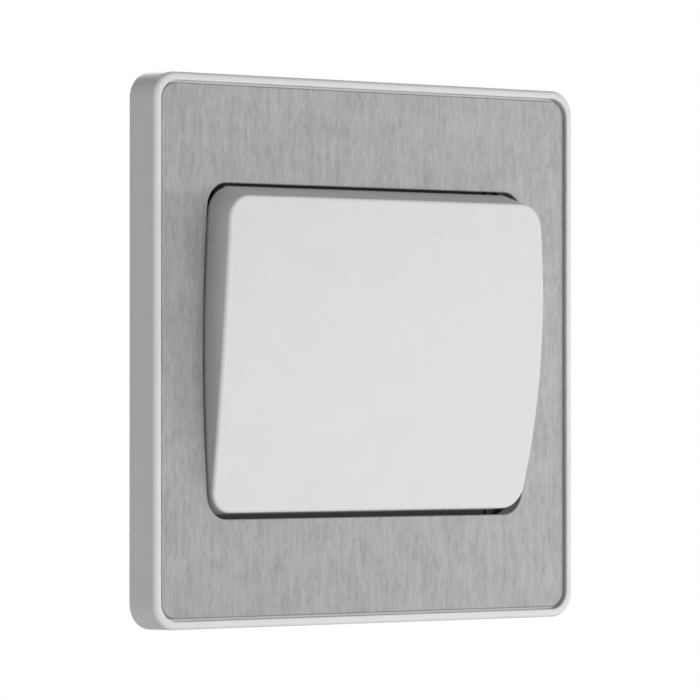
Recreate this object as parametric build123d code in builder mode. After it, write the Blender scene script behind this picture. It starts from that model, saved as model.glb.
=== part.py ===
from build123d import *
from math import asin, cos, radians, sin, sqrt, tan
import os

# Wide rocker light switch: a square clip-on wall plate with a steel fascia, one wide
# crowned rocker, and the two-way switch mechanism that stands behind it in the wall box.
# Frame: X to the right as seen from the room, Y into the wall, Z up, in millimetres.
# The origin is midway between the two fixing screws, on the wall's surface.

os.makedirs("parts", exist_ok=True)

# Wall plate
plate_side = 95.0
plate_depth = 7.0
plate_corner = 4.5
plate_draft = 1.0
plate_edge_round = 0.8
side_wall = 1.8
rim_width = 1.55
rim_inner_round = 0.3
floor_thickness = 1.6
notch_width = 12.0
notch_depth = 1.2

# Steel fascia and the tape behind it
fascia_gap = 0.4
fascia_thickness = 0.8
fascia_recess = 0.6
fascia_corner = 3.0
fascia_edge_break = 0.15
tape_thickness = 0.15
tape_inset = 0.8

# Aperture for the rocker, wide enough for the fixing screws to lie behind it
screw_cover = 6.45
aperture_height = 57.6
aperture_corner = 4.2
side_bow_radius = 322.0
collar_gap = 0.25
collar_wall = 1.2
collar_clearance = 0.3
rib_thickness = 1.0
plate_rib_spacing = 22.0

# Snap hooks between the plate and the yoke
hook_x = 22.0
hook_inset = 5.7
hook_width = 8.0
hook_thickness = 1.2
hook_barb = 0.6
hook_clearance = 0.15

# Rocker cap
tilt = 5.7
cap_end_clearance = 0.26
cap_side_clearance = 0.24
cap_proud = 4.35
cap_rear_inset = 4.0
cap_foot_height = 0.8
cap_foot_end_step = 0.3
cap_foot_side_step = 0.1
cap_end_draft = 10.5
cap_side_draft = 0.7
cap_face_radius = 190.0
cap_corner = 4.4
cap_wall = 1.9
cap_edge_round = 0.6
cap_rib_x = 20.0
cap_rib_height = 1.2
cap_side_relief = 0.6
cap_relief_start = 4.5

# Pivot of the rocker
pivot_inset = 3.5
trunnion_radius = 2.0
trunnion_clearance = 0.06
trunnion_length = 3.3

# Dolly, the lever under the rocker cap
dolly_width = 18.0
dolly_height = 15.0
dolly_plate_thickness = 1.5
dolly_seat_inset = 0.75
dolly_hub_radius = 3.4
socket_wall = 1.2
socket_depth = 1.3
socket_clearance = 0.1
stem_radius = 3.2
stem_length = 7.0
stem_bore_radius = 2.1
stem_bore_depth = 9.0

# Plunger and its spring
plunger_reach = 12.5
plunger_clearance = 0.1
plunger_tip_radius = 1.2
plunger_guide_length = 4.0
spring_wire_radius = 0.25
spring_mean_radius = 1.5
spring_turns = 4

# Yoke, the plate that is screwed to the wall box
yoke_depth = 2.4
yoke_gap = 1.2
yoke_corner = 3.0
yoke_window_gap = 0.5
island_margin = 0.05
island_height = 44.0
island_thickness = 1.6
island_corner = 3.0
bridge_height = 20.0
web_thickness = 0.5
well_clearance = 0.4
well_width_clearance = 0.4
well_wall = 0.8
well_floor = 1.0
mechanism_window_width = 28.0
mechanism_window_height = 20.0
ring_slot_length = 9.0
ring_slot_width = 4.0

# Screws that hold the yoke to the wall box
fixing_centres = 60.3
fixing_radius = 1.75
fixing_neck_relief = 0.25
fixing_clearance = 0.2
fixing_slot_travel = 3.0
fixing_length = 21.6
fixing_head_radius = 3.3
fixing_head_height = 2.2
fixing_drive_width = 0.9
fixing_drive_depth = 1.1

# Mechanism housing
housing_width = 42.0
housing_height = 38.0
housing_depth = 17.5
housing_corner = 2.0
cover_thickness = 2.0
chamber_width = 17.0
chamber_height = 26.0
ear_thickness = 3.0
ear_radius = 3.6
ear_foot = 10.4
ear_gap = 0.5
stem_port_width = 8.0
stem_port_height = 10.0
housing_screw_z = 16.0
housing_screw_radius = 1.5
housing_screw_length = 13.6
housing_head_radius = 2.6
screw_clearance = 0.05

# Contacts
contact_axis_y = 9.5
contact_tilt = 10.8
bar_thickness = 0.8
bar_width = 4.0
bar_length = 18.0
bar_pin_clearance = 0.08
tip_z = 7.6
tip_radius = 1.2
tip_reach = 1.3
tip_base = 0.3
tip_shank_radius = 0.6
closed_gap = 0.1
fixed_tip_radius = 1.4
fixed_tip_height = 0.65
strip_thickness = 0.8
strip_width = 4.4
cheek_gap = 0.5
cheek_margin = 1.1
common_strip_width = 4.0
common_drop = 0.2
channel_clearance = 0.1

# Terminals
terminal_x = 13.0
terminal_z = 12.0
terminal_y = 11.5
terminal_width = 7.0
terminal_height = 8.0
terminal_front_wall = 1.3
terminal_rear_wall = 3.3
terminal_edge = 0.4
terminal_joint = 0.8
tunnel_radius = 2.2
entry_radius = 2.6
terminal_screw_radius = 1.5
terminal_screw_backoff = 0.05
terminal_head_radius = 2.5
terminal_head_height = 1.4
terminal_head_gap = 0.5
terminal_drive_width = 0.6
terminal_drive_depth = 0.7
well_radius = 2.9
post_side = 3.0
pocket_clearance = 0.1

# Depths and half sizes that follow from the sizes above
rim_y = -plate_depth
fascia_front_y = rim_y + fascia_recess
fascia_back_y = fascia_front_y + fascia_thickness
floor_front_y = fascia_back_y + tape_thickness
floor_back_y = floor_front_y + floor_thickness
yoke_front_y = -yoke_depth
collar_back_y = yoke_front_y - collar_clearance
hook_ledge_y = yoke_front_y / 2
hook_tip_y = hook_ledge_y / 3
tray_side = plate_side - 2 * rim_width
fascia_side = tray_side - 2 * fascia_gap
tray_corner = fascia_corner + fascia_gap
rear_opening_side = plate_side - 2 * side_wall
yoke_side = rear_opening_side - 2 * yoke_gap
hook_z = rear_opening_side / 2 - hook_inset
aperture_half_width = fixing_centres / 2 + screw_cover
aperture_half_height = aperture_height / 2
pivot_y = rim_y + pivot_inset
pivot_axis = Axis((0, pivot_y, 0), (1, 0, 0))
cap_face_y = rim_y - cap_proud
cap_rear_y = rim_y + cap_rear_inset
cap_ceiling_y = cap_face_y + cap_wall
dolly_front_y = cap_ceiling_y + dolly_seat_inset
dolly_plate_back_y = dolly_front_y + dolly_plate_thickness
stem_end_y = pivot_y + stem_length
bore_end_y = stem_end_y - stem_bore_depth
plunger_radius = stem_bore_radius - plunger_clearance
plunger_tip_y = pivot_y + plunger_reach
plunger_guide_back_y = stem_end_y + plunger_radius / 2
plunger_front_y = stem_end_y - plunger_guide_length
island_front_y = -island_thickness
island_width = fixing_centres + 2 * (fixing_head_radius + island_margin)
cap_root_half_width = aperture_half_width - cap_side_clearance
cap_root_half_height = aperture_half_height - cap_end_clearance
cap_foot_y = cap_rear_y - cap_foot_height
cap_relief_x = cap_root_half_width - cap_relief_start
skirt_inner_z = (cap_root_half_height - cap_foot_end_step
                 + cap_foot_height * tan(radians(cap_end_draft)) - cap_wall)
skirt_low_y = (pivot_y + (cap_rear_y - pivot_y) * cos(radians(tilt))
               + cap_root_half_height * sin(radians(tilt)))
well_front_y = skirt_low_y + well_clearance
well_back_y = well_front_y + well_floor
well_inner_z = skirt_inner_z - well_clearance - well_width_clearance
ear_inner_x = dolly_width / 2 + ear_gap
housing_front_y = cover_thickness
housing_back_y = housing_front_y + housing_depth
contact_axis = Axis((0, contact_axis_y, 0), (1, 0, 0))
bar_back_y = contact_axis_y + bar_thickness / 2
bar_front_y = contact_axis_y - bar_thickness / 2
dome_height = tip_reach - bar_thickness / 2 - tip_base
dome_radius = (tip_radius**2 + dome_height**2) / (2 * dome_height)
dome_half_angle = asin(tip_radius / dome_radius)
dome_centre = tip_reach - dome_radius
fixed_tip_z = tip_z * cos(radians(contact_tilt)) - dome_centre * sin(radians(contact_tilt))
closed_y = (contact_axis_y + tip_z * sin(radians(contact_tilt))
            + dome_centre * cos(radians(contact_tilt)) + dome_radius)
fixed_tip_y = closed_y + closed_gap
strip_front_y = fixed_tip_y + fixed_tip_height
strip_back_y = strip_front_y + strip_thickness
common_front_y = strip_back_y + common_drop
common_back_y = common_front_y + strip_thickness
cheek_inner_x = bar_width / 2 + cheek_gap
cheek_outer_x = cheek_inner_x + strip_thickness
terminal_front_y = terminal_y - tunnel_radius - terminal_front_wall
terminal_back_y = terminal_y + tunnel_radius + terminal_rear_wall
terminal_inner_x = terminal_x - terminal_width / 2
terminal_inner_z = terminal_z - terminal_height / 2
strip_end_x = terminal_inner_x + terminal_joint
leg_outer_x = chamber_width / 2 - channel_clearance - common_drop
leg_inner_x = leg_outer_x - 0.7 * common_strip_width
common_foot_z = terminal_inner_z + common_strip_width / 2


def level(y):
    """Plane at depth y that faces the room, with X and Z as its sketch axes."""
    return Plane.XZ.offset(-y)


def bowed_outline(y, half_width, half_height, corner):
    """Outline with level ends and sides that bow outward, rounded at its corners."""
    bow = side_bow_radius - sqrt(side_bow_radius**2 - half_height**2)
    end_x = half_width - bow
    with BuildSketch(level(y)) as outline:
        with BuildLine():
            Line((-end_x, half_height), (end_x, half_height))
            ThreePointArc((end_x, half_height), (half_width, 0), (end_x, -half_height))
            Line((end_x, -half_height), (-end_x, -half_height))
            ThreePointArc((-end_x, -half_height), (-half_width, 0), (-end_x, half_height))
        make_face()
        fillet(outline.vertices(), corner)
    return outline.sketch


def aperture_outline(y, margin):
    """The rocker's aperture at depth y, grown all round by a margin."""
    return bowed_outline(y, aperture_half_width + margin, aperture_half_height + margin,
                         aperture_corner + margin)


def cap_outline(y, inset):
    """Drafted wall of the rocker at depth y, above its foot, drawn in by an inset."""
    run = cap_foot_y - y
    half_width = cap_root_half_width - cap_foot_side_step - run * tan(radians(cap_side_draft))
    half_height = cap_root_half_height - cap_foot_end_step - run * tan(radians(cap_end_draft))
    return bowed_outline(y, half_width - inset, half_height - inset, cap_corner - inset)


def crowned_block(inset):
    """Drafted block with the rocker's crowned front, drawn in by an inset."""
    with BuildPart() as block:
        loft([cap_outline(cap_rear_y, inset), cap_outline(cap_face_y - inset, inset)])
        with BuildSketch(Plane.YZ):
            with Locations((cap_face_y + cap_face_radius, 0)):
                Circle(cap_face_radius - inset)
        extrude(amount=aperture_half_width + 1, both=True, mode=Mode.INTERSECT)
    return block.part


def save(part, name):
    """Label a finished piece and write its STEP file."""
    part.label = name
    export_step(part, f"parts/{name}.step")


# Surround: drafted plate with a front tray for the fascia, open at the back
with BuildPart() as surround_frame:
    with BuildSketch(level(0)):
        RectangleRounded(plate_side, plate_side, plate_corner)
    extrude(amount=plate_depth, taper=plate_draft)
    fillet(surround_frame.faces().sort_by(Axis.Y)[0].edges(), plate_edge_round)
    with BuildSketch(level(rim_y)):
        RectangleRounded(tray_side, tray_side, tray_corner)
    extrude(amount=rim_y - floor_front_y, mode=Mode.SUBTRACT)
    fillet(surround_frame.faces().filter_by(Axis.Y).sort_by(Axis.Y)[0].inner_wires()[0].edges(),
           rim_inner_round)
    with BuildSketch(level(0)):
        RectangleRounded(rear_opening_side, rear_opening_side, plate_corner - side_wall)
    extrude(amount=-floor_back_y, mode=Mode.SUBTRACT)
    extrude(aperture_outline(collar_back_y, collar_gap + collar_wall),
            amount=collar_back_y - floor_back_y)
    # Stiffening ribs from the collar out to the side walls
    with BuildSketch(level(collar_back_y)):
        for side in (-1, 1):
            for step in (-1.5, -0.5, 0.5, 1.5):
                with Locations((step * plate_rib_spacing, side * plate_side / 4)):
                    Rectangle(rib_thickness, plate_side / 2 - side_wall)
            for step in (-1, 0, 1):
                with Locations((side * plate_side / 4, step * plate_rib_spacing)):
                    Rectangle(plate_side / 2 - side_wall, rib_thickness)
    extrude(amount=collar_back_y - floor_back_y)
    extrude(aperture_outline(0, collar_gap), amount=plate_depth, mode=Mode.SUBTRACT)
    # Snap hooks, each a springy leg with a barb that faces outward
    for x in (-hook_x, hook_x):
        with BuildSketch(Plane.YZ.offset(x)) as hooks:
            with BuildLine():
                Polyline((floor_back_y, hook_z), (hook_tip_y, hook_z),
                         (hook_tip_y, hook_z + hook_thickness / 2),
                         (hook_ledge_y, hook_z + hook_thickness + hook_barb),
                         (hook_ledge_y, hook_z + hook_thickness),
                         (floor_back_y, hook_z + hook_thickness), close=True)
            make_face()
            mirror(about=Plane.XZ)
        extrude(amount=hook_width / 2, both=True)
    # Notch at the bottom edge to lever the plate off
    with BuildSketch(level(0)):
        with Locations((0, -plate_side / 2)):
            Rectangle(notch_width, 3 * side_wall)
    extrude(amount=notch_depth, mode=Mode.SUBTRACT)
save(surround_frame.part, "surround_frame")

# Fascia: flat steel sheet with its front edges broken
with BuildPart() as steel_fascia:
    with BuildSketch(level(fascia_back_y)):
        RectangleRounded(fascia_side, fascia_side, fascia_corner)
    extrude(amount=fascia_thickness)
    extrude(aperture_outline(fascia_back_y, 0), amount=fascia_thickness, mode=Mode.SUBTRACT)
    chamfer(steel_fascia.faces().sort_by(Axis.Y)[0].edges(), fascia_edge_break)
save(steel_fascia.part, "steel_fascia")

# Double-sided tape between the fascia and the tray's floor
with BuildPart() as fascia_tape:
    with BuildSketch(level(floor_front_y)):
        RectangleRounded(fascia_side - 2 * tape_inset, fascia_side - 2 * tape_inset, fascia_corner)
    extrude(amount=tape_thickness)
    extrude(aperture_outline(floor_front_y, tape_inset), amount=tape_thickness, mode=Mode.SUBTRACT)
save(fascia_tape.part, "fascia_tape")

# Yoke: outer ring that the plate clips to, a thin web under the rocker, an island for the
# mechanism with a bridge each side, and a well each for the rocker's upper and lower skirt
with BuildPart() as mounting_yoke:
    with BuildSketch(level(0)):
        RectangleRounded(yoke_side, yoke_side, yoke_corner)
    extrude(amount=yoke_depth)
    extrude(aperture_outline(0, yoke_window_gap), amount=yoke_depth, mode=Mode.SUBTRACT)
    with BuildSketch(level(0)):
        RectangleRounded(island_width, island_height, island_corner)
        Rectangle(2 * (aperture_half_width + 2 * yoke_window_gap), bridge_height)
    extrude(amount=island_thickness)
    extrude(aperture_outline(0, 2 * yoke_window_gap), amount=web_thickness)
    well_middle_z = (well_inner_z + aperture_half_height + yoke_window_gap) / 2
    well_height = aperture_half_height + yoke_window_gap - well_inner_z
    well_width = 2 * (cap_relief_x + well_width_clearance)
    with BuildSketch(level(well_back_y)):
        with GridLocations(0, 2 * well_middle_z, 1, 2):
            Rectangle(well_width + 2 * well_wall, well_height + 2 * well_wall)
    extrude(amount=well_back_y)
    with BuildSketch(level(well_front_y)):
        with GridLocations(0, 2 * well_middle_z, 1, 2):
            Rectangle(well_width, well_height)
    extrude(amount=well_front_y + web_thickness, mode=Mode.SUBTRACT)
    with BuildSketch(level(0)):
        Rectangle(mechanism_window_width, mechanism_window_height)
        with Locations((-fixing_centres / 2, 0)):
            Circle(fixing_radius + fixing_clearance)
        with Locations((fixing_centres / 2, 0)):
            SlotCenterToCenter(fixing_slot_travel, 2 * (fixing_radius + fixing_clearance), rotation=90)
    extrude(amount=island_thickness, mode=Mode.SUBTRACT)
    # Stepped slots that the snap hooks catch in
    with BuildSketch(level(yoke_front_y)):
        for side in (-1, 1):
            with Locations((-hook_x, side * (hook_z + hook_thickness / 2)),
                           (hook_x, side * (hook_z + hook_thickness / 2))):
                Rectangle(hook_width + 4 * hook_clearance, hook_thickness + 2 * hook_clearance)
    extrude(amount=-yoke_depth, mode=Mode.SUBTRACT)
    catch_height = hook_thickness + hook_barb + 2 * hook_clearance
    with BuildSketch(level(0)):
        for side in (-1, 1):
            with Locations((-hook_x, side * (hook_z - hook_clearance + catch_height / 2)),
                           (hook_x, side * (hook_z - hook_clearance + catch_height / 2))):
                Rectangle(hook_width + 4 * hook_clearance, catch_height)
    extrude(amount=-hook_ledge_y, mode=Mode.SUBTRACT)
    # Slots that lighten the ring
    with BuildSketch(level(0)):
        with GridLocations(0, 2 * hook_z, 1, 2):
            SlotOverall(2 * ring_slot_length, ring_slot_width)
        with GridLocations(2 * (hook_z + hook_thickness), 2 * bridge_height, 2, 2):
            SlotOverall(ring_slot_length, ring_slot_width, rotation=90)
    extrude(amount=yoke_depth, mode=Mode.SUBTRACT)
    with Locations(level(island_front_y)):
        with Locations((0, housing_screw_z), (0, -housing_screw_z)):
            CounterSinkHole(housing_screw_radius + screw_clearance,
                            housing_head_radius + screw_clearance, island_thickness)
save(mounting_yoke.part, "mounting_yoke")

# Cover: front plate of the mechanism, with two ears that carry the dolly
with BuildPart() as mechanism_cover:
    with BuildSketch(level(housing_front_y)):
        RectangleRounded(housing_width, housing_height, housing_corner)
        Rectangle(stem_port_width, stem_port_height, mode=Mode.SUBTRACT)
        with Locations((0, housing_screw_z), (0, -housing_screw_z)):
            Circle(housing_screw_radius + screw_clearance, mode=Mode.SUBTRACT)
    extrude(amount=cover_thickness)
    for x in (-ear_inner_x - ear_thickness, ear_inner_x):
        with BuildSketch(Plane.YZ.offset(x)):
            with BuildLine():
                Polyline((0, -ear_foot / 2), (pivot_y, -ear_radius), (pivot_y, ear_radius),
                         (0, ear_foot / 2), close=True)
            make_face()
            with Locations((pivot_y, 0)):
                Circle(ear_radius)
                Circle(trunnion_radius + trunnion_clearance, mode=Mode.SUBTRACT)
        extrude(amount=ear_thickness)
    # Posts that keep the terminals in their pockets
    with BuildSketch(level(housing_front_y)):
        with GridLocations(2 * terminal_x, 2 * terminal_z, 2, 2):
            Rectangle(post_side, post_side)
    extrude(amount=-(terminal_front_y - pocket_clearance - housing_front_y))
save(mechanism_cover.part, "mechanism_cover")

# Housing: deep moulded box with a chamber for the contacts and a pocket for each terminal
with BuildPart() as rear_housing:
    with BuildSketch(level(housing_front_y)):
        RectangleRounded(housing_width, housing_height, housing_corner)
    extrude(amount=-housing_depth)
    fillet(rear_housing.faces().sort_by(Axis.Y)[-1].edges(), housing_corner / 2)
    with BuildSketch(level(housing_front_y)):
        Rectangle(chamber_width, chamber_height)
        for side in (-1, 1):
            with Locations((strip_end_x / 2, side * fixed_tip_z)):
                Rectangle(strip_end_x + 2 * channel_clearance, strip_width + 2 * channel_clearance)
    extrude(amount=housing_front_y - strip_back_y, mode=Mode.SUBTRACT)
    with BuildSketch(level(housing_front_y)):
        with GridLocations(2 * terminal_x, 2 * terminal_z, 2, 2):
            Rectangle(terminal_width + 2 * pocket_clearance, terminal_height + 2 * pocket_clearance)
    extrude(amount=housing_front_y - terminal_back_y, mode=Mode.SUBTRACT)
    # Channel for the strip that feeds the see-saw contact
    with BuildSketch(level(housing_front_y)):
        with BuildLine():
            Polyline((cheek_outer_x + channel_clearance, common_strip_width / 2 + channel_clearance),
                     (-leg_outer_x - channel_clearance, common_strip_width / 2 + channel_clearance),
                     (-leg_outer_x - channel_clearance, -terminal_inner_z + channel_clearance),
                     (-terminal_inner_x - channel_clearance, -terminal_inner_z + channel_clearance),
                     (-terminal_inner_x - channel_clearance, -common_foot_z - channel_clearance),
                     (-leg_inner_x + channel_clearance, -common_foot_z - channel_clearance),
                     (-leg_inner_x + channel_clearance, -common_strip_width / 2 - channel_clearance),
                     (cheek_outer_x + channel_clearance, -common_strip_width / 2 - channel_clearance),
                     close=True)
        make_face()
    extrude(amount=housing_front_y - common_back_y, mode=Mode.SUBTRACT)
    # Round wells for the terminal screws, pilot holes, and the wire entries
    with BuildSketch(level(housing_back_y)):
        with GridLocations(2 * terminal_x, 2 * terminal_z, 2, 2):
            Circle(well_radius)
    extrude(amount=housing_back_y - terminal_back_y, mode=Mode.SUBTRACT)
    with BuildSketch(level(housing_front_y)):
        with Locations((0, housing_screw_z), (0, -housing_screw_z)):
            Circle(housing_screw_radius + screw_clearance)
    extrude(amount=-housing_screw_length, mode=Mode.SUBTRACT)
    for z in (-housing_height / 2, housing_height / 2 - terminal_height):
        with BuildSketch(Plane.XY.offset(z)):
            with Locations((-terminal_x, terminal_y), (terminal_x, terminal_y)):
                Circle(entry_radius)
        extrude(amount=terminal_height, mode=Mode.SUBTRACT)
save(rear_housing.part, "rear_housing")

# Rocker cap: crowned shell with drafted skirts on a stepped foot, a socket for the dolly,
# and two ribs
rocker_cavity = crowned_block(cap_wall)
with BuildPart() as rocker_cap:
    add(crowned_block(0))
    fillet(rocker_cap.faces().sort_by(Axis.Y)[0].edges(), cap_edge_round)
    extrude(bowed_outline(cap_rear_y, cap_root_half_width, cap_root_half_height, cap_corner),
            amount=cap_foot_height)
    add(rocker_cavity, mode=Mode.SUBTRACT)
    # Side skirts stop short, clear of the yoke's web
    with BuildSketch(level(cap_rear_y)):
        for side in (-1, 1):
            with Locations((side * (cap_relief_x + cap_relief_start), 0)):
                Rectangle(2 * cap_relief_start, 3 * cap_root_half_height)
    extrude(amount=cap_side_relief, mode=Mode.SUBTRACT)
with BuildPart() as rocker_inside:
    socket_width = dolly_width + 2 * (socket_clearance + socket_wall)
    socket_height = dolly_height + 2 * (socket_clearance + socket_wall)
    with BuildSketch(level(dolly_front_y + socket_depth)):
        Rectangle(socket_width, socket_height)
    extrude(amount=socket_depth + cap_wall)
    with BuildSketch(level(dolly_front_y + socket_depth)):
        Rectangle(socket_width - 2 * socket_wall, socket_height - 2 * socket_wall)
    extrude(amount=socket_depth, mode=Mode.SUBTRACT)
    for x in (-cap_rib_x, cap_rib_x):
        with BuildSketch(Plane.YZ.offset(x)):
            with Locations((cap_face_y + cap_face_radius, 0)):
                Circle(cap_face_radius - cap_wall)
                Circle(cap_face_radius - cap_wall - cap_rib_height, mode=Mode.SUBTRACT)
        extrude(amount=rib_thickness / 2, both=True)
    add(rocker_cavity, mode=Mode.INTERSECT)
with BuildPart() as rocker_shell:
    add(rocker_cap.part)
    add(rocker_inside.part)
save(rocker_shell.part.rotate(pivot_axis, tilt), "rocker_cap")

# Dolly: seat plate, hub with two trunnions, and the tube that guides the plunger
with BuildPart() as switch_dolly:
    with BuildSketch(level(dolly_plate_back_y)):
        Rectangle(dolly_width, dolly_height)
    extrude(amount=dolly_plate_thickness)
    with BuildSketch(level(pivot_y)):
        Rectangle(dolly_width, 2 * dolly_hub_radius)
    extrude(amount=pivot_y - dolly_plate_back_y)
    with BuildSketch(Plane.YZ.offset(-dolly_width / 2)):
        with Locations((pivot_y, 0)):
            Circle(dolly_hub_radius)
    extrude(amount=dolly_width)
    with BuildSketch(Plane.YZ.offset(-dolly_width / 2 - trunnion_length)):
        with Locations((pivot_y, 0)):
            Circle(trunnion_radius)
    extrude(amount=dolly_width + 2 * trunnion_length)
    with BuildSketch(level(pivot_y)):
        Circle(stem_radius)
    extrude(amount=-stem_length)
    with BuildSketch(level(stem_end_y)):
        Circle(stem_bore_radius)
    extrude(amount=stem_bore_depth, mode=Mode.SUBTRACT)
save(switch_dolly.part.rotate(pivot_axis, tilt), "switch_dolly")

# Plunger: round guide, tapered neck and ball end, turned about its own axis
with BuildPart() as contact_plunger:
    with BuildSketch(Plane.YZ) as plunger_profile:
        with BuildLine():
            tip_arc = JernArc((plunger_tip_y, 0), (0, 1), plunger_tip_radius, 90)
            Polyline(tip_arc @ 1, (plunger_guide_back_y, plunger_radius),
                     (plunger_front_y, plunger_radius), (plunger_front_y, 0), (plunger_tip_y, 0))
        make_face()
    revolve(axis=Axis((0, 0, 0), (0, 1, 0)))
save(contact_plunger.part.rotate(pivot_axis, tilt), "contact_plunger")

# Spring between the blind end of the dolly's bore and the plunger
spring_length = plunger_front_y - bore_end_y - 2 * spring_wire_radius
with BuildPart() as dolly_spring:
    with BuildLine() as coil:
        Helix(pitch=spring_length / spring_turns, height=spring_length, radius=spring_mean_radius,
              center=(0, bore_end_y + spring_wire_radius, 0), direction=(0, 1, 0))
    with BuildSketch(coil.line ^ 0):
        Circle(spring_wire_radius)
    sweep(is_frenet=True)
save(dolly_spring.part.rotate(pivot_axis, tilt), "dolly_spring")

# See-saw contact: flat bar with a pin at each side and a hole for each tip
with BuildPart() as moving_contact:
    with BuildSketch(level(bar_back_y)):
        RectangleRounded(bar_width, bar_length, bar_width / 4)
        with GridLocations(0, 2 * tip_z, 1, 2):
            Circle(tip_shank_radius + screw_clearance, mode=Mode.SUBTRACT)
    extrude(amount=bar_thickness)
    with BuildSketch(Plane.YZ.offset(-cheek_outer_x)):
        with Locations((contact_axis_y, 0)):
            Circle(bar_thickness / 2)
    extrude(amount=2 * cheek_outer_x)
save(moving_contact.part.rotate(contact_axis, -contact_tilt), "moving_contact")


def moving_tip(z):
    """Domed rivet in the see-saw bar, its shank turned over on the front."""
    with BuildPart() as tip:
        with BuildSketch(Plane.YZ):
            with BuildLine():
                dome = ThreePointArc(
                    (contact_axis_y + tip_reach, z),
                    (contact_axis_y + dome_centre + dome_radius * cos(dome_half_angle / 2),
                     z + dome_radius * sin(dome_half_angle / 2)),
                    (bar_back_y + tip_base, z + tip_radius))
                Polyline(dome @ 1, (bar_back_y, z + tip_radius), (bar_back_y, z + tip_shank_radius),
                         (bar_front_y, z + tip_shank_radius),
                         (bar_front_y, z + 0.8 * tip_radius),
                         (bar_front_y - tip_base, z + tip_shank_radius),
                         (bar_front_y - tip_base, z), (contact_axis_y + tip_reach, z))
            make_face()
        revolve(axis=Axis((0, 0, z), (0, 1, 0)))
    return tip.part.rotate(contact_axis, -contact_tilt)


def fixed_tip(z):
    """Flat rivet set in a fixed contact strip."""
    with BuildPart() as tip:
        with BuildSketch(level(strip_front_y)):
            with Locations((0, z)):
                Circle(fixed_tip_radius)
        extrude(amount=fixed_tip_height)
        chamfer(tip.faces().sort_by(Axis.Y)[0].edges(), fixed_tip_height / 3)
        with BuildSketch(level(strip_front_y)):
            with Locations((0, z)):
                Circle(tip_shank_radius)
        extrude(amount=-strip_thickness)
    return tip.part


def fixed_contact(side):
    """Flat strip that runs from a fixed tip to its terminal."""
    with BuildPart() as strip:
        with BuildSketch(level(strip_back_y)):
            with Locations(((strip_end_x - strip_width / 2) / 2, side * fixed_tip_z)):
                Rectangle(strip_end_x + strip_width / 2, strip_width)
            with Locations((0, side * fixed_tip_z)):
                Circle(tip_shank_radius + screw_clearance, mode=Mode.SUBTRACT)
        extrude(amount=strip_thickness)
    return strip.part


for name, side in (("upper", 1), ("lower", -1)):
    save(moving_tip(side * tip_z), f"moving_tip_{name}")
    save(fixed_tip(side * fixed_tip_z), f"fixed_tip_{name}")
    save(fixed_contact(side), f"{name}_contact")

# Common contact: cranked strip whose two cheeks carry the see-saw's pins
with BuildPart() as common_contact:
    with BuildSketch(level(common_back_y)):
        with BuildLine():
            Polyline((cheek_outer_x, common_strip_width / 2), (-leg_outer_x, common_strip_width / 2),
                     (-leg_outer_x, -terminal_inner_z), (-strip_end_x, -terminal_inner_z),
                     (-strip_end_x, -common_foot_z), (-leg_inner_x, -common_foot_z),
                     (-leg_inner_x, -common_strip_width / 2),
                     (cheek_outer_x, -common_strip_width / 2), close=True)
        make_face()
    extrude(amount=strip_thickness)
    for x in (-cheek_outer_x, cheek_inner_x):
        with BuildSketch(Plane.YZ.offset(x)):
            with Locations(((contact_axis_y + common_back_y) / 2, 0)):
                Rectangle(common_back_y - contact_axis_y, 2 * cheek_margin)
            with Locations((contact_axis_y, 0)):
                Circle(cheek_margin)
                Circle(bar_thickness / 2 + bar_pin_clearance, mode=Mode.SUBTRACT)
        extrude(amount=strip_thickness)
save(common_contact.part, "common_contact")


def terminal_block(x, z, joint_y):
    """Brass block with a tunnel for the wire, a screw hole, and a notch for its strip."""
    inward = -1 if x > 0 else 1
    with BuildPart() as block:
        with BuildSketch(level(terminal_back_y)):
            with Locations((x, z)):
                RectangleRounded(terminal_width, terminal_height, terminal_edge)
        extrude(amount=terminal_back_y - terminal_front_y)
        with BuildSketch(Plane.XY.offset(z - terminal_height / 2)):
            with Locations((x, terminal_y)):
                Circle(tunnel_radius)
        extrude(amount=terminal_height, mode=Mode.SUBTRACT)
        with BuildSketch(level(terminal_back_y)):
            with Locations((x, z)):
                Circle(terminal_screw_radius + screw_clearance)
        extrude(amount=terminal_back_y - terminal_y, mode=Mode.SUBTRACT)
        if joint_y is not None:
            with BuildSketch(level(joint_y)):
                with Locations((x + inward * terminal_width / 2, z - (z / abs(z)) * terminal_height / 2)):
                    Rectangle(2 * terminal_joint, terminal_height)
            extrude(amount=-strip_thickness, mode=Mode.SUBTRACT)
    return block.part


def terminal_screw(x, z):
    """Slotted terminal screw, backed off until its end is clear of the wire tunnel."""
    shank_tip_y = terminal_y + tunnel_radius + terminal_screw_backoff
    head_front_y = terminal_back_y + terminal_head_gap
    with BuildPart() as screw:
        with BuildSketch(level(shank_tip_y)):
            with Locations((x, z)):
                Circle(terminal_screw_radius)
        extrude(amount=shank_tip_y - head_front_y)
        with BuildSketch(level(head_front_y)):
            with Locations((x, z)):
                Circle(terminal_head_radius)
        extrude(amount=-terminal_head_height)
        with BuildSketch(level(head_front_y + terminal_head_height)):
            with Locations((x, z)):
                Rectangle(3 * terminal_head_radius, terminal_drive_width)
        extrude(amount=terminal_drive_depth, mode=Mode.SUBTRACT)
    return screw.part


for name, x, z, joint_y in (("common", -terminal_x, -terminal_z, common_front_y),
                            ("upper", terminal_x, terminal_z, strip_front_y),
                            ("lower", terminal_x, -terminal_z, strip_front_y),
                            ("earth", -terminal_x, terminal_z, None)):
    save(terminal_block(x, z, joint_y), f"{name}_terminal")
    save(terminal_screw(x, z), f"{name}_terminal_screw")


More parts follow.
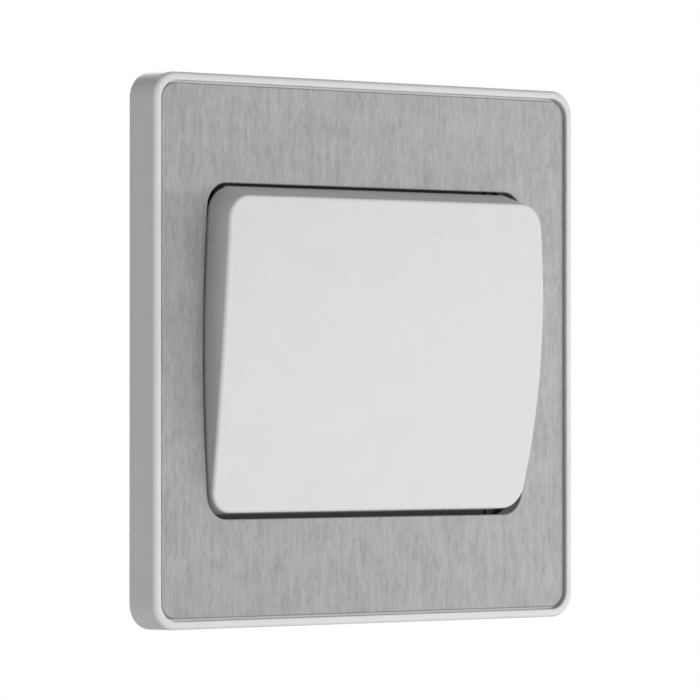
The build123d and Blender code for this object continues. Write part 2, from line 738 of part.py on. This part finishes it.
def fixing_screw(x):
    """Pan head screw through the yoke into the wall box."""
    with BuildPart() as screw:
        with BuildSketch(level(island_front_y)):
            with Locations((x, 0)):
                Circle(fixing_head_radius)
        extrude(amount=fixing_head_height)
        chamfer(screw.faces().sort_by(Axis.Y)[0].edges(), fixing_head_height / 3)
        # Plain neck through the yoke, then the thread from the wall's surface on
        with BuildSketch(level(island_front_y)):
            with Locations((x, 0)):
                Circle(fixing_radius - fixing_neck_relief)
        extrude(amount=-island_thickness)
        with BuildSketch(level(0)):
            with Locations((x, 0)):
                Circle(fixing_radius)
        extrude(amount=island_thickness - fixing_length)
        chamfer(screw.faces().sort_by(Axis.Y)[-1].edges(), fixing_radius / 3)
        with BuildSketch(level(island_front_y - fixing_head_height)):
            with Locations((x, 0)):
                Rectangle(3 * fixing_head_radius, fixing_drive_width)
        extrude(amount=-fixing_drive_depth, mode=Mode.SUBTRACT)
    return screw.part


save(fixing_screw(-fixing_centres / 2), "fixing_screw_left")
save(fixing_screw(fixing_centres / 2), "fixing_screw_right")

# Two countersunk screws that hold yoke, cover and housing together
countersink_depth = housing_head_radius - housing_screw_radius
with BuildPart() as housing_screws:
    with BuildSketch(level(island_front_y)) as screw_places:
        with Locations((0, housing_screw_z), (0, -housing_screw_z)):
            Circle(housing_screw_radius)
    extrude(amount=-housing_screw_length)
    for z in (-housing_screw_z, housing_screw_z):
        with BuildSketch(Plane.YZ):
            with BuildLine():
                Polyline((island_front_y, z), (island_front_y, z + housing_head_radius),
                         (island_front_y + countersink_depth, z + housing_screw_radius),
                         (island_front_y + countersink_depth, z), close=True)
            make_face()
        revolve(axis=Axis((0, 0, z), (0, 1, 0)))
save(housing_screws.part, "housing_screws")
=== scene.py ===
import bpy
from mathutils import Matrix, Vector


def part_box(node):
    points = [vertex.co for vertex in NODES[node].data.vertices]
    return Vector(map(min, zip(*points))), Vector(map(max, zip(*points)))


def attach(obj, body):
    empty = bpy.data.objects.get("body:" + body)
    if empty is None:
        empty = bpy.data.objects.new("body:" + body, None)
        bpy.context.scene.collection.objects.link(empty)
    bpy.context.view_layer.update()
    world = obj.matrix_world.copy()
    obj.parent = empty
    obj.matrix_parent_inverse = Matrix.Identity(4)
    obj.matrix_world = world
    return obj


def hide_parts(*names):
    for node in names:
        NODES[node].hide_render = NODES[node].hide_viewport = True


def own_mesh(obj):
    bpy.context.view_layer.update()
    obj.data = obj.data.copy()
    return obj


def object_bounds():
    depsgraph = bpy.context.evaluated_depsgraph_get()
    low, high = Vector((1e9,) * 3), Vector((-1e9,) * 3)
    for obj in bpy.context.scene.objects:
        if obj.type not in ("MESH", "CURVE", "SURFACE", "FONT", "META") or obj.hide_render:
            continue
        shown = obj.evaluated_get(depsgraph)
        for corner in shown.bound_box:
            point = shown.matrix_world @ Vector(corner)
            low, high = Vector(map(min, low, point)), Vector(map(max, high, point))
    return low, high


bl_info = {
    "name": "Wide Rocker Light Switch",
    "version": (1, 0, 0),
    "blender": (4, 5, 0),
    "location": "3D View > Sidebar > Switch",
    "description": "Finishes, screw threads and studio for a wide rocker light switch",
    "category": "Object",
}

from math import atan2, cos, pi, radians, sin

import bmesh
import bpy
from bpy.props import FloatProperty, FloatVectorProperty, IntProperty, PointerProperty
from bpy.types import Operator, Panel, PropertyGroup
from mathutils import Matrix, Vector
from mathutils.geometry import intersect_point_line

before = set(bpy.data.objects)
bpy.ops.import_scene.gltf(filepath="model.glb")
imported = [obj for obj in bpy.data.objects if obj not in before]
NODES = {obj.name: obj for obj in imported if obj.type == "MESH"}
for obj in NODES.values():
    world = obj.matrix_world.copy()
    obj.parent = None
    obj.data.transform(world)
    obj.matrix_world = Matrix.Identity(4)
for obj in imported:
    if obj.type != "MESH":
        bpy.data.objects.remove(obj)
CAD_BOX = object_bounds()

# Distances in metres within which two points touch, and within which they are one
TOUCH = 0.00001
MERGE = 0.000001
# Faces that meet at a smaller angle than this are shaded as one curved face
SMOOTH_ANGLE = radians(35)

# The photograph's frame, in its own pixels
PHOTO_SIDE = 700
HORIZON_ROW = 404.3
FOCAL_PIXELS = 5056.0
# Width of the camera's sensor, in millimetres
SENSOR_WIDTH = 36.0

# Size of the steel's long streaks and of its mottle, in fine streaks along X, Y and Z
LONG_STREAK = (2.2, 1, 4)
MOTTLE = (12, 1, 2)
# Tint of the hollows and crests of the plastics' ripple, and its width over its depth
RIPPLE_TINT = (0.985, 1.012)
RIPPLE_FLATNESS = 900
GRAIN_STRENGTH = 0.6
FLOOR_MOTTLE = 0.05
FLOOR_TINT = (0.995, 1.005)


class SteelSettings(PropertyGroup):
    """Brushed steel of the fascia."""

    colour: FloatVectorProperty(
        name="Steel colour", description="Colour that the steel reflects",
        default=(0.36, 0.36, 0.357), size=3, subtype="COLOR", min=0, max=1)
    contrast: FloatProperty(
        name="Streak contrast", description="How far a streak is lighter or darker than the steel",
        default=0.30, min=0, max=1, subtype="FACTOR")
    streak_width: FloatProperty(
        name="Streak width", description="Width of one brushed streak",
        default=0.0005, min=0.00001, unit="LENGTH")
    streak_length: FloatProperty(
        name="Streak length", description="Height of one brushed streak",
        default=0.0021, min=0.0001, unit="LENGTH")
    roughness: FloatProperty(
        name="Steel roughness", description="Mean roughness of the brushed face",
        default=0.40, min=0, max=1, subtype="FACTOR")
    metallic: FloatProperty(
        name="Metallic share", description="Share of metal in the satin face, the rest scatters light",
        default=0.3, min=0, max=1, subtype="FACTOR")
    long_share: FloatProperty(
        name="Long streaks", description="Share of long streaks among the fine ones",
        default=0.4, min=0, max=1, subtype="FACTOR")
    mottle_share: FloatProperty(
        name="Mottle", description="Share of the broad mottle in the steel's colour",
        default=0.2, min=0, max=1, subtype="FACTOR")
    groove_depth: FloatProperty(
        name="Brush depth", description="Depth of the brushed grooves",
        default=0.000012, min=0, unit="LENGTH")


class PlasticSettings(PropertyGroup):
    """Moulded plastics."""

    rocker_colour: FloatVectorProperty(
        name="Rocker colour", description="White of the rocker",
        default=(0.715, 0.715, 0.722), size=3, subtype="COLOR", min=0, max=1)
    frame_colour: FloatVectorProperty(
        name="Frame colour", description="White of the surround",
        default=(0.72, 0.72, 0.715), size=3, subtype="COLOR", min=0, max=1)
    yoke_colour: FloatVectorProperty(
        name="Yoke colour", description="Grey of the hidden yoke",
        default=(0.11, 0.112, 0.115), size=3, subtype="COLOR", min=0, max=1)
    housing_colour: FloatVectorProperty(
        name="Housing colour", description="Off-white of the mechanism's housing",
        default=(0.66, 0.655, 0.63), size=3, subtype="COLOR", min=0, max=1)
    gloss_roughness: FloatProperty(
        name="Gloss roughness", description="Roughness of the moulded faces that show",
        default=0.45, min=0, max=1, subtype="FACTOR")
    matt_roughness: FloatProperty(
        name="Matt roughness", description="Roughness of the hidden mouldings",
        default=0.55, min=0, max=1, subtype="FACTOR")
    sheen_level: FloatProperty(
        name="Gloss level", description="Strength of the plastics' mirror-like share",
        default=0.06, min=0, max=1, subtype="FACTOR")
    ripple_size: FloatProperty(
        name="Ripple size", description="Width of the moulding's faint ripples",
        default=0.006, min=0.0001, unit="LENGTH")
    grain_size: FloatProperty(
        name="Grain size", description="Width of one grain of the tool's texture",
        default=0.00018, min=0.00001, unit="LENGTH")


class RockerSettings(PropertyGroup):
    """Foot of the rocker's skirt, measured with the rocker level."""

    tilt: FloatProperty(
        name="Tilt", description="Turn of the rocker from level, with its top edge out",
        default=radians(5.7), subtype="ANGLE")
    pivot_depth: FloatProperty(
        name="Pivot depth", description="Depth of the axis that the rocker tips about",
        default=-0.0035, unit="LENGTH")
    foot_depth: FloatProperty(
        name="Foot depth", description="Depth of the ledge where the drafted walls meet the foot",
        default=-0.0038, unit="LENGTH")
    end_depth: FloatProperty(
        name="End depth", description="Depth to which the walls run at the rocker's two ends",
        default=-0.00305, unit="LENGTH")
    side_depth: FloatProperty(
        name="Side depth", description="Depth to which the walls run at the corners and sides",
        default=-0.00365, unit="LENGTH")
    end_half_width: FloatProperty(
        name="End half width", description="Half of the width over which the end walls are deeper",
        default=0.0319, min=0, unit="LENGTH")
    reach: FloatProperty(
        name="Foot reach", description="Most that the foot stands out from the drafted walls",
        default=0.00045, min=0, unit="LENGTH")


class ScrewSettings(PropertyGroup):
    """Threads of the two fixing screws."""

    radius: FloatProperty(
        name="Shank radius", description="Radius over the thread's crests",
        default=0.00175, min=0.0001, unit="LENGTH")
    pitch: FloatProperty(
        name="Pitch", description="Distance between two turns of the thread",
        default=0.0006, min=0.0001, unit="LENGTH")
    depth: FloatProperty(
        name="Thread depth", description="Depth of the thread below its crests",
        default=0.00032, min=0, unit="LENGTH")
    plain: FloatProperty(
        name="Plain length", description="Length of shank with no thread on the head's side",
        default=0.002, min=0, unit="LENGTH")
    tip: FloatProperty(
        name="Tip chamfer", description="Chamfer at the shank's end",
        default=0.00058, min=0, unit="LENGTH")
    steps: IntProperty(
        name="Steps", description="Rows of points along one pitch", default=8, min=4)


class StageSettings(PropertyGroup):
    """Floor, light and camera."""

    camera_place: FloatVectorProperty(
        name="Camera place", description="Where the photograph was taken from",
        default=(-0.5642, -0.6876, -0.0091), size=3, subtype="TRANSLATION", unit="LENGTH")
    camera_turn: FloatProperty(
        name="Camera turn", description="Turn of the view from the wall's normal",
        default=radians(39.42), subtype="ANGLE")
    ambient: FloatProperty(
        name="Ambient", description="Strength of the even light from all round",
        default=0.15, min=0)
    ambient_colour: FloatVectorProperty(
        name="Ambient colour", description="Colour of the even light",
        default=(0.995, 0.998, 1.0), size=3, subtype="COLOR", min=0, max=1)
    key_power: FloatProperty(
        name="Key power", description="Power of the large lamp at the front, in watts",
        default=5.25, min=0)
    edge_power: FloatProperty(
        name="Edge power", description="Power of the lamp at the right, which the steel reflects",
        default=0.85, min=0)
    side_power: FloatProperty(
        name="Side power", description="Power of the lamp at the left, just behind the plate",
        default=1.45, min=0)
    back_power: FloatProperty(
        name="Back power", description="Power of the lamp behind the switch",
        default=3.5, min=0)
    lamp_side: FloatProperty(
        name="Lamp side", description="Side of each square lamp",
        default=0.4, min=0.01, unit="LENGTH")
    floor_drop: FloatProperty(
        name="Floor drop", description="Height of the switch above the floor",
        default=0.2, min=0, unit="LENGTH")
    floor_radius: FloatProperty(
        name="Floor radius", description="Radius of the round floor",
        default=0.7, min=0.1, unit="LENGTH")
    floor_colour: FloatVectorProperty(
        name="Floor colour", description="Colour of the pale floor",
        default=(0.86, 0.86, 0.86), size=3, subtype="COLOR", min=0, max=1)


class Finish:
    """One material's node tree, with short calls for the nodes that this switch needs."""

    def __init__(self, name, roughness, metallic=0.0):
        self.material = bpy.data.materials.new(name)
        self.material.use_nodes = True
        self.tree = self.material.node_tree
        self.tree.nodes.clear()
        self.shader = self.add("ShaderNodeBsdfPrincipled")
        self.shader.inputs["Roughness"].default_value = roughness
        self.shader.inputs["Metallic"].default_value = metallic
        output = self.add("ShaderNodeOutputMaterial")
        self.join(self.shader.outputs["BSDF"], output.inputs["Surface"])
        self.place = self.add("ShaderNodeTexCoord").outputs["Object"]

    def add(self, kind, **values):
        node = self.tree.nodes.new(kind)
        for name, value in values.items():
            setattr(node, name, value)
        return node

    def join(self, source, target):
        self.tree.links.new(source, target)

    def noise(self, cell, detail=2.0, roughness=0.5):
        """Noise whose cells have the given size in metres along X, Y and Z."""
        mapping = self.add("ShaderNodeMapping")
        mapping.inputs["Scale"].default_value = [1 / size for size in cell]
        self.join(self.place, mapping.inputs["Vector"])
        noise = self.add("ShaderNodeTexNoise")
        noise.inputs["Scale"].default_value = 1.0
        noise.inputs["Detail"].default_value = detail
        noise.inputs["Roughness"].default_value = roughness
        self.join(mapping.outputs["Vector"], noise.inputs["Vector"])
        return noise.outputs["Fac"]

    def blend(self, first, second, share):
        """Mean of two values, weighted towards the second by share."""
        mix = self.add("ShaderNodeMix", data_type="FLOAT")
        mix.inputs[0].default_value = share
        self.join(first, mix.inputs[2])
        self.join(second, mix.inputs[3])
        return mix.outputs[0]

    def spread(self, value, low, high, start=0.25, end=0.75):
        """The value's middle range stretched to run from low to high."""
        span = self.add("ShaderNodeMapRange", clamp=True)
        span.inputs["From Min"].default_value = start
        span.inputs["From Max"].default_value = end
        span.inputs["To Min"].default_value = low
        span.inputs["To Max"].default_value = high
        self.join(value, span.inputs["Value"])
        return span.outputs["Result"]

    def tint(self, value, colour, darkest, lightest):
        """Base colour that runs from darkest to lightest, as factors of the colour."""
        mix = self.add("ShaderNodeMix", data_type="RGBA")
        mix.inputs[6].default_value = (*scaled(colour, darkest), 1)
        mix.inputs[7].default_value = (*scaled(colour, lightest), 1)
        self.join(self.spread(value, 0, 1), mix.inputs[0])
        self.join(mix.outputs[2], self.shader.inputs["Base Color"])

    def rough(self, value, mean, below, above):
        """Roughness that strays below and above its mean with the value."""
        self.join(self.spread(value, mean - below, mean + above), self.shader.inputs["Roughness"])

    def bump(self, value, depth, strength=1.0, below=None):
        """Bump of the given depth in metres, over an earlier bump if there is one."""
        bump = self.add("ShaderNodeBump")
        bump.inputs["Strength"].default_value = strength
        bump.inputs["Distance"].default_value = depth
        self.join(value, bump.inputs["Height"])
        if below is not None:
            self.join(below, bump.inputs["Normal"])
        self.join(bump.outputs["Normal"], self.shader.inputs["Normal"])
        return bump.outputs["Normal"]


def scaled(colour, factor):
    """A colour made lighter or darker by a factor."""
    return tuple(min(1.0, channel * factor) for channel in colour)


def steel_finish(steel):
    """Steel brushed upright: fine and long streaks, a broad mottle and fine grooves."""
    finish = Finish("brushed_steel", steel.roughness, steel.metallic)
    streak = (steel.streak_width, steel.streak_width, steel.streak_length)
    fine = finish.noise(streak, detail=3.0, roughness=0.6)
    long_streaks = finish.noise([size * times for size, times in zip(streak, LONG_STREAK)])
    mottle = finish.noise([size * times for size, times in zip(streak, MOTTLE)])
    streaks = finish.blend(fine, long_streaks, steel.long_share)
    pattern = finish.blend(streaks, mottle, steel.mottle_share)
    finish.tint(pattern, steel.colour, 1 - steel.contrast, 1 + steel.contrast)
    finish.rough(streaks, steel.roughness, below=0.06, above=0.08)
    finish.bump(streaks, steel.groove_depth)
    return finish.material


def moulded_finish(name, colour, roughness, ripple, grain, grain_depth, gloss=0.5):
    """Moulded plastic: a faint ripple from the mould and a fine grain."""
    finish = Finish(name, roughness)
    finish.shader.inputs["Specular IOR Level"].default_value = gloss
    waves = finish.noise((ripple, ripple, ripple))
    specks = finish.noise((grain, grain, grain))
    finish.tint(waves, colour, *RIPPLE_TINT)
    finish.rough(specks, roughness, below=0.04, above=0.05)
    rippled = finish.bump(waves, ripple / RIPPLE_FLATNESS)
    finish.bump(specks, grain_depth, GRAIN_STRENGTH, rippled)
    return finish.material


def metal_finish(name, colour, roughness, cell, contrast=0.08, depth=0.000004):
    """Worked metal with streaks of the given size."""
    finish = Finish(name, roughness, 1.0)
    streaks = finish.noise(cell, detail=3.0, roughness=0.6)
    finish.tint(streaks, colour, 1 - contrast, 1 + contrast)
    finish.rough(streaks, roughness, below=0.05, above=0.08)
    finish.bump(streaks, depth)
    return finish.material


def dress(material, *names):
    """Give CAD nodes their material."""
    for name in names:
        node = NODES[name]
        if not node.material_slots:
            node.data.materials.append(material)
        for slot in node.material_slots:
            slot.material = material


class SWITCH_OT_dress_fascia(Operator):
    """Give the steel fascia its brushed finish, and the tape behind it a matt one"""

    bl_idname = "switch.dress_fascia"
    bl_label = "Dress the fascia"

    def execute(self, context):
        film = moulded_finish("tape_film", colour=(0.70, 0.70, 0.66), roughness=0.6,
                              ripple=0.004, grain=0.0003, grain_depth=0.00001)
        dress(steel_finish(context.scene.switch_steel), "steel_fascia")
        dress(film, "fascia_tape")
        return {"FINISHED"}


class SWITCH_OT_dress_mouldings(Operator):
    """Give the surround, the rocker and the hidden mouldings their plastics"""

    bl_idname = "switch.dress_mouldings"
    bl_label = "Dress the mouldings"

    def execute(self, context):
        plastic = context.scene.switch_plastic
        ripple, grain = plastic.ripple_size, plastic.grain_size
        smooth, matt = plastic.gloss_roughness, plastic.matt_roughness
        gloss = plastic.sheen_level
        rocker = moulded_finish("rocker_white", plastic.rocker_colour, smooth, ripple, grain,
                                grain_depth=0.0000015, gloss=gloss)
        surround = moulded_finish("frame_white", plastic.frame_colour, smooth, ripple, grain,
                                  grain_depth=0.000002, gloss=gloss)
        yoke = moulded_finish("yoke_grey", plastic.yoke_colour, matt, ripple, 2 * grain,
                              grain_depth=0.00001, gloss=gloss)
        housing = moulded_finish("housing_ivory", plastic.housing_colour, matt, ripple, 2 * grain,
                                 grain_depth=0.000008)
        dress(rocker, "rocker_cap")
        dress(surround, "surround_frame")
        dress(yoke, "mounting_yoke")
        dress(housing, "mechanism_cover", "rear_housing", "switch_dolly", "contact_plunger")
        return {"FINISHED"}


class SWITCH_OT_dress_metals(Operator):
    """Give the contacts, terminals, tips, spring and small screws their metals"""

    bl_idname = "switch.dress_metals"
    bl_label = "Dress the metal parts"

    def execute(self, context):
        brass = metal_finish("rolled_brass", colour=(0.80, 0.60, 0.30), roughness=0.32,
                             cell=(0.0008, 0.0008, 0.0002))
        silver = metal_finish("contact_silver", colour=(0.86, 0.85, 0.83), roughness=0.22,
                              cell=(0.0002, 0.0002, 0.0002))
        zinc = metal_finish("bright_zinc", colour=(0.72, 0.73, 0.72), roughness=0.28,
                            cell=(0.0006, 0.0006, 0.0006))
        wire = metal_finish("spring_wire", colour=(0.55, 0.55, 0.55), roughness=0.30,
                            cell=(0.0001, 0.0006, 0.0001))
        dress(brass, "common_contact", "upper_contact", "lower_contact", "moving_contact",
              "common_terminal", "upper_terminal", "lower_terminal", "earth_terminal")
        dress(silver, "fixed_tip_upper", "fixed_tip_lower", "moving_tip_upper", "moving_tip_lower")
        dress(zinc, "common_terminal_screw", "upper_terminal_screw", "lower_terminal_screw",
              "earth_terminal_screw", "housing_screws", "fixing_screw_left", "fixing_screw_right")
        dress(wire, "dolly_spring")
        return {"FINISHED"}


def piece_from(mesh, name, body, node):
    """Object that stands for one CAD node and moves with its body."""
    piece = bpy.data.objects.new(name, mesh)
    bpy.context.scene.collection.objects.link(piece)
    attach(piece, body)
    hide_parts(node)
    return piece


def walls_at(grid, depth):
    """Lower edges of the drafted outer walls: both ends, the way out and the slope."""
    walls = []
    for edge in grid.edges:
        if any(abs(vert.co.y - depth) > TOUCH for vert in edge.verts):
            continue
        for face in edge.link_faces:
            middle = face.calc_center_median()
            out = Vector((face.normal.x, 0, face.normal.z))
            if middle.y < depth - TOUCH and out.dot(middle) > 0:
                start, end = (vert.co.copy() for vert in edge.verts)
                walls.append((start, end, out.normalized(), -face.normal.y / out.length))
    return walls


def nearest_wall(place, walls):
    """Closest point of the walls' lower edges, with the way out and the slope there."""
    found = []
    for start, end, out, slope in walls:
        share = intersect_point_line(place, start, end)[1]
        foot = start.lerp(end, min(1.0, max(0.0, share)))
        found.append(((place - foot).length, foot, out, slope))
    return min(found, key=lambda wall: wall[0])


def smooth_foot(mesh, rocker):
    """Let the drafted walls run on to the rear edge, without the foot's ledge."""
    pivot = Vector((0, rocker.pivot_depth, 0))
    tilted = Matrix.Translation(pivot) @ Matrix.Rotation(rocker.tilt, 4, "X") @ Matrix.Translation(-pivot)
    mesh.transform(tilted.inverted())
    grid = bmesh.new()
    grid.from_mesh(mesh)
    bmesh.ops.remove_doubles(grid, verts=grid.verts, dist=MERGE)
    walls = walls_at(grid, rocker.foot_depth)
    grid.free()
    if not walls:
        raise RuntimeError("the rocker has no foot at the given depth")
    moved = 0
    for vert in mesh.vertices:
        if vert.co.y < rocker.foot_depth - TOUCH:
            continue
        flat = Vector((vert.co.x, rocker.foot_depth, vert.co.z))
        away, foot, out, slope = nearest_wall(flat, walls)
        if away > rocker.reach or (flat - foot).dot(out) < TOUCH:
            continue
        depth = vert.co.y
        if depth < rocker.foot_depth + TOUCH:
            at_end = abs(vert.co.x) < rocker.end_half_width
            depth = rocker.end_depth if at_end else rocker.side_depth
        place = foot + out * slope * (depth - rocker.foot_depth)
        vert.co = (place.x, depth, place.z)
        moved += 1
    mesh.transform(tilted)
    if not moved:
        raise RuntimeError("no vertex of the rocker's foot was found")


class SWITCH_OT_smooth_rocker(Operator):
    """Replace the rocker by one whose walls run on smoothly below the steel"""

    bl_idname = "switch.smooth_rocker"
    bl_label = "Smooth the rocker's foot"

    def execute(self, context):
        mesh = NODES["rocker_cap"].data.copy()
        smooth_foot(mesh, context.scene.switch_rocker)
        piece_from(mesh, "rocker_smooth", "rocker", "rocker_cap")
        return {"FINISHED"}


class SWITCH_OT_squeeze_spring(Operator):
    """Replace the spring by a copy of its own that moves with the rocker"""

    bl_idname = "switch.squeeze_spring"
    bl_label = "Let the spring shorten"

    def execute(self, context):
        mesh = NODES["dolly_spring"].data.copy()
        spring = piece_from(mesh, "spring_squeezed", "rocker", "dolly_spring")
        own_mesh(spring)
        return {"FINISHED"}


def thread_radius(screw, y, angle, length):
    """Radius of the threaded shank at a depth and an angle."""
    phase = (y / screw.pitch + angle / (2 * pi)) % 1
    groove = screw.depth * (1 - abs(2 * phase - 1))
    begun = min(1.0, max(0.0, (y - screw.plain) / screw.pitch))
    tip = screw.radius - max(0.0, y - (length - screw.tip))
    return min(screw.radius - groove * begun, tip)


def threaded_mesh(node, screw):
    """The CAD screw's own head and neck with a threaded shank."""
    low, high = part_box(node)
    axis_x = (low.x + high.x) / 2
    grid = bmesh.new()
    grid.from_mesh(NODES[node].data)
    bmesh.ops.remove_doubles(grid, verts=grid.verts, dist=MERGE)
    shank = [face for face in grid.faces if all(vert.co.y > -TOUCH for vert in face.verts)]
    bmesh.ops.delete(grid, geom=shank, context="FACES")
    rim = {vert for edge in grid.edges if edge.is_boundary for vert in edge.verts}
    if not rim:
        grid.free()
        raise RuntimeError(f"{node} has no neck to thread from")
    ring = sorted(rim, key=lambda vert: atan2(vert.co.z, vert.co.x - axis_x))
    angles = [atan2(vert.co.z, vert.co.x - axis_x) for vert in ring]
    rows = round(high.y / screw.pitch * screw.steps)
    for row in range(rows + 1):
        y = high.y * row / rows
        following = []
        for angle in angles:
            radius = thread_radius(screw, y, angle, high.y)
            following.append(grid.verts.new((axis_x + radius * cos(angle), y, radius * sin(angle))))
        for spot in range(len(ring)):
            grid.faces.new((ring[spot - 1], ring[spot], following[spot], following[spot - 1]))
        ring = following
    grid.faces.new(ring)
    bmesh.ops.recalc_face_normals(grid, faces=grid.faces)
    mesh = bpy.data.meshes.new(node + "_threaded")
    grid.to_mesh(mesh)
    grid.free()
    mesh.shade_smooth()
    mesh.set_sharp_from_angle(angle=SMOOTH_ANGLE)
    for material in NODES[node].data.materials:
        mesh.materials.append(material)
    return mesh


class SWITCH_OT_thread_screws(Operator):
    """Replace the two fixing screws by ones with real threads"""

    bl_idname = "switch.thread_screws"
    bl_label = "Thread the fixing screws"

    def execute(self, context):
        for node in ("fixing_screw_left", "fixing_screw_right"):
            mesh = threaded_mesh(node, context.scene.switch_screw)
            piece_from(mesh, node + "_threaded", "root", node)
        return {"FINISHED"}


def studio_world(stage):
    """White to the camera, to gloss and through glass, and a plain even light otherwise."""
    world = bpy.data.worlds.new("studio")
    world.use_nodes = True
    tree = world.node_tree
    tree.nodes.clear()
    even = tree.nodes.new("ShaderNodeBackground")
    even.inputs["Color"].default_value = (*stage.ambient_colour, 1)
    even.inputs["Strength"].default_value = stage.ambient
    white = tree.nodes.new("ShaderNodeBackground")
    white.inputs["Color"].default_value = (1, 1, 1, 1)
    white.inputs["Strength"].default_value = 1.0
    path = tree.nodes.new("ShaderNodeLightPath")
    seen = path.outputs["Is Camera Ray"]
    for ray in ("Is Glossy Ray", "Is Transmission Ray"):
        either = tree.nodes.new("ShaderNodeMath")
        either.operation = "MAXIMUM"
        tree.links.new(seen, either.inputs[0])
        tree.links.new(path.outputs[ray], either.inputs[1])
        seen = either.outputs["Value"]
    mix = tree.nodes.new("ShaderNodeMixShader")
    tree.links.new(seen, mix.inputs["Fac"])
    tree.links.new(even.outputs["Background"], mix.inputs[1])
    tree.links.new(white.outputs["Background"], mix.inputs[2])
    output = tree.nodes.new("ShaderNodeOutputWorld")
    tree.links.new(mix.outputs["Shader"], output.inputs["Surface"])
    return world


def soft_lamp(name, power, side, azimuth, height, distance, in_gloss=True):
    """Square soft lamp that faces the switch. Azimuth is in degrees from the wall's normal."""
    data = bpy.data.lights.new(name, "AREA")
    data.shape = "SQUARE"
    data.size = side
    data.energy = power
    lamp = bpy.data.objects.new(name, data)
    turn = radians(azimuth)
    lamp.location = (distance * sin(turn), -distance * cos(turn), height)
    lamp.rotation_euler = (-lamp.location).to_track_quat("-Z", "Y").to_euler()
    lamp.visible_camera = False
    lamp.visible_glossy = in_gloss
    bpy.context.scene.collection.objects.link(lamp)


def round_floor(stage):
    """Pale round floor below the switch, which keeps its shadow."""
    low = CAD_BOX[0]
    grid = bmesh.new()
    bmesh.ops.create_circle(grid, cap_ends=True, segments=96, radius=stage.floor_radius)
    bmesh.ops.translate(grid, verts=grid.verts, vec=(0, 0, low.z - stage.floor_drop))
    mesh = bpy.data.meshes.new("floor")
    grid.to_mesh(mesh)
    grid.free()
    floor_object = bpy.data.objects.new("floor", mesh)
    bpy.context.scene.collection.objects.link(floor_object)
    finish = Finish("pale_floor", roughness=0.9)
    mottle = finish.noise((FLOOR_MOTTLE, FLOOR_MOTTLE, FLOOR_MOTTLE))
    finish.tint(mottle, stage.floor_colour, *FLOOR_TINT)
    mesh.materials.append(finish.material)


def photo_camera(stage):
    """Camera where the photograph was taken from, level but for the photograph's raised horizon."""
    data = bpy.data.cameras.new("photo_camera")
    data.sensor_width = SENSOR_WIDTH
    data.lens = FOCAL_PIXELS * SENSOR_WIDTH / PHOTO_SIDE
    data.clip_start = 0.01
    data.clip_end = 50
    camera = bpy.data.objects.new("photo_camera", data)
    camera.location = stage.camera_place
    pitch = atan2(HORIZON_ROW - PHOTO_SIDE / 2, FOCAL_PIXELS)
    camera.rotation_euler = (pi / 2 + pitch, 0, -stage.camera_turn)
    bpy.context.scene.collection.objects.link(camera)
    bpy.context.scene.camera = camera


class SWITCH_OT_build_stage(Operator):
    """Make the floor, the even light, the soft lamps and the camera"""

    bl_idname = "switch.build_stage"
    bl_label = "Build the stage"

    def execute(self, context):
        stage = context.scene.switch_stage
        context.scene.world = studio_world(stage)
        context.scene.view_settings.view_transform = "Standard"
        side = stage.lamp_side
        soft_lamp("key_lamp", stage.key_power, side, azimuth=3, height=-0.03, distance=0.9,
                  in_gloss=False)
        soft_lamp("edge_lamp", stage.edge_power, side / 2, azimuth=68, height=0.0, distance=0.6)
        soft_lamp("side_lamp", stage.side_power, side, azimuth=-108, height=0.0, distance=0.8,
                  in_gloss=False)
        soft_lamp("back_lamp", stage.back_power, side, azimuth=155, height=0.5, distance=0.9)
        round_floor(stage)
        photo_camera(stage)
        return {"FINISHED"}


class SWITCH_PT_panel(Panel):
    """Everything that dresses the switch, in order"""

    bl_idname = "SWITCH_PT_panel"
    bl_label = "Rocker switch"
    bl_space_type = "VIEW_3D"
    bl_region_type = "UI"
    bl_category = "Switch"

    def draw(self, context):
        for operator in OPERATORS:
            self.layout.operator(operator.bl_idname)


OPERATORS = (SWITCH_OT_dress_fascia, SWITCH_OT_dress_mouldings, SWITCH_OT_dress_metals,
             SWITCH_OT_smooth_rocker, SWITCH_OT_squeeze_spring, SWITCH_OT_thread_screws,
             SWITCH_OT_build_stage)
SETTINGS = {"switch_steel": SteelSettings, "switch_plastic": PlasticSettings,
            "switch_rocker": RockerSettings, "switch_screw": ScrewSettings,
            "switch_stage": StageSettings}


def register():
    for group in (*SETTINGS.values(), *OPERATORS, SWITCH_PT_panel):
        bpy.utils.register_class(group)
    for name, settings in SETTINGS.items():
        setattr(bpy.types.Scene, name, PointerProperty(type=settings))


def unregister():
    for name in SETTINGS:
        delattr(bpy.types.Scene, name)
    for group in (SWITCH_PT_panel, *reversed(OPERATORS), *reversed(SETTINGS.values())):
        bpy.utils.unregister_class(group)


def main():
    register()
    bpy.ops.switch.dress_fascia()
    bpy.ops.switch.dress_mouldings()
    bpy.ops.switch.dress_metals()
    bpy.ops.switch.smooth_rocker()
    bpy.ops.switch.squeeze_spring()
    bpy.ops.switch.thread_screws()
    bpy.ops.switch.build_stage()


if __name__ == "__main__":
    main()
